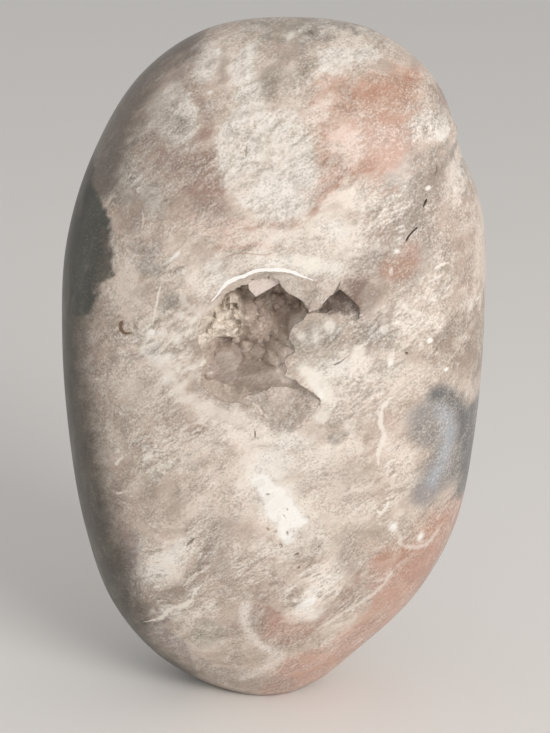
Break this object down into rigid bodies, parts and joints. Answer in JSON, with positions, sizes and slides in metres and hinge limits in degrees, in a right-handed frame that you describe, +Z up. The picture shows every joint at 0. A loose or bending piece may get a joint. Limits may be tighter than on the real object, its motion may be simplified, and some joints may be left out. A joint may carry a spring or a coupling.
{
  "type": "palm stone",
  "caption": "Flattened egg-shaped polished stone that stands on a small ground flat, with a crystal-lined pocket in its show face.",
  "frame": {"origin": "on the small ground flat of the lower end, which stands on the surface, below the middle of the stone", "axes": "+Z up along the stone's length, show face with the crystal pocket towards -Y, +X to the right of that face"},
  "size_m": [0.0463, 0.0266, 0.0765],
  "materials": {
    "polished_stone": "polished chalcedony and pink amethyst, cream to salmon with a dark green-grey rind",
    "quartz_crystals": "natural quartz faces, grey-mauve to brown, unpolished"
  },
  "bodies": {
    "root": {"stone": "polished_stone", "crystal_crust": "quartz_crystals"}
  },
  "joints": []
}
